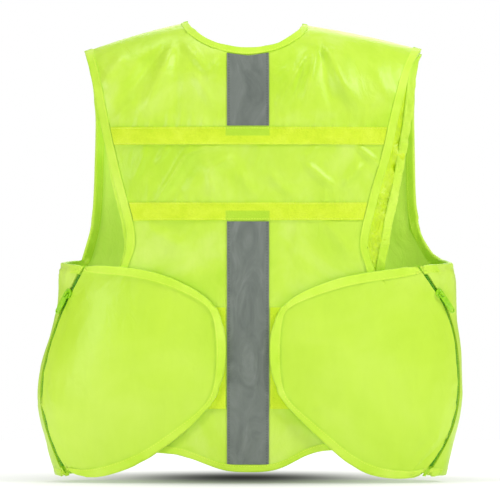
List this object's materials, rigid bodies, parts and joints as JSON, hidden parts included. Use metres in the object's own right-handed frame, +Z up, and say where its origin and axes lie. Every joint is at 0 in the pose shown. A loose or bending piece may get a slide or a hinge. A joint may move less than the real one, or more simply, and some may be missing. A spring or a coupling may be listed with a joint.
{
  "type": "cooling vest",
  "caption": "Lime-yellow zipped work vest with padded wings that close over the back, loop bands and a grey reflective strip.",
  "frame": {"origin": "middle of the neck opening, level with the shoulder tops, where a wearer's neck or a hanger carries it", "axes": "+Z up, the back faces -Y, the front faces +Y, +X is to the right as seen from behind"},
  "size_m": [0.5071, 0.1759, 0.5415],
  "materials": {
    "cloth": "bright lime-yellow satin-faced polyester",
    "lining": "thin lime inner cloth",
    "binding": "folded lime edge tape with a stitched edge",
    "hook_loop": "fuzzy loop pile",
    "reflective": "grey retroreflective tape",
    "zip_tape": "green woven zip tape",
    "zip_teeth": "green moulded coil",
    "zip_pull": "green lacquered slider and pull"
  },
  "bodies": {
    "vest": {"back_panel": "cloth", "back_lining": "lining", "neck_binding_back": "binding", "hem_binding_back": "binding", "loop_band_upper": "hook_loop", "loop_band_lower": "hook_loop", "reflective_tape_upper": "reflective", "reflective_tape_lower": "reflective", "front_zip": "zip_tape", "back_binding_left": "binding", "lining_binding_left": "binding", "waist_loop_left": "hook_loop", "front_panel_left": "cloth", "front_neck_binding_left": "binding", "front_armhole_binding_left": "binding", "front_hem_binding_left": "binding", "wing_left": "cloth", "wing_binding_left": "binding", "side_zip_tape_left": "zip_tape", "side_zip_teeth_left": "zip_teeth", "zip_slider_left": "zip_pull", "back_binding_right": "binding", "lining_binding_right": "binding", "waist_loop_right": "hook_loop", "front_panel_right": "cloth", "front_neck_binding_right": "binding", "front_armhole_binding_right": "binding", "front_hem_binding_right": "binding", "wing_right": "cloth", "wing_binding_right": "binding", "side_zip_tape_right": "zip_tape", "side_zip_teeth_right": "zip_teeth", "zip_slider_right": "zip_pull"},
    "left_pull": {"zip_pull_left": "zip_pull"},
    "right_pull": {"zip_pull_right": "zip_pull"}
  },
  "joints": [
    {"name": "left_pull_hinge", "type": "hinge", "parent": "vest", "child": "left_pull", "pos_m": [-0.21386, -0.04014, -0.31798], "axis": [-0.5598, 0.5837, 0.5882], "range_deg": [0, 150]},
    {"name": "right_pull_hinge", "type": "hinge", "parent": "vest", "child": "right_pull", "pos_m": [0.22754, -0.04617, -0.31804], "axis": [-0.6127, -0.4489, -0.6504], "range_deg": [0, 150]}
  ]
}
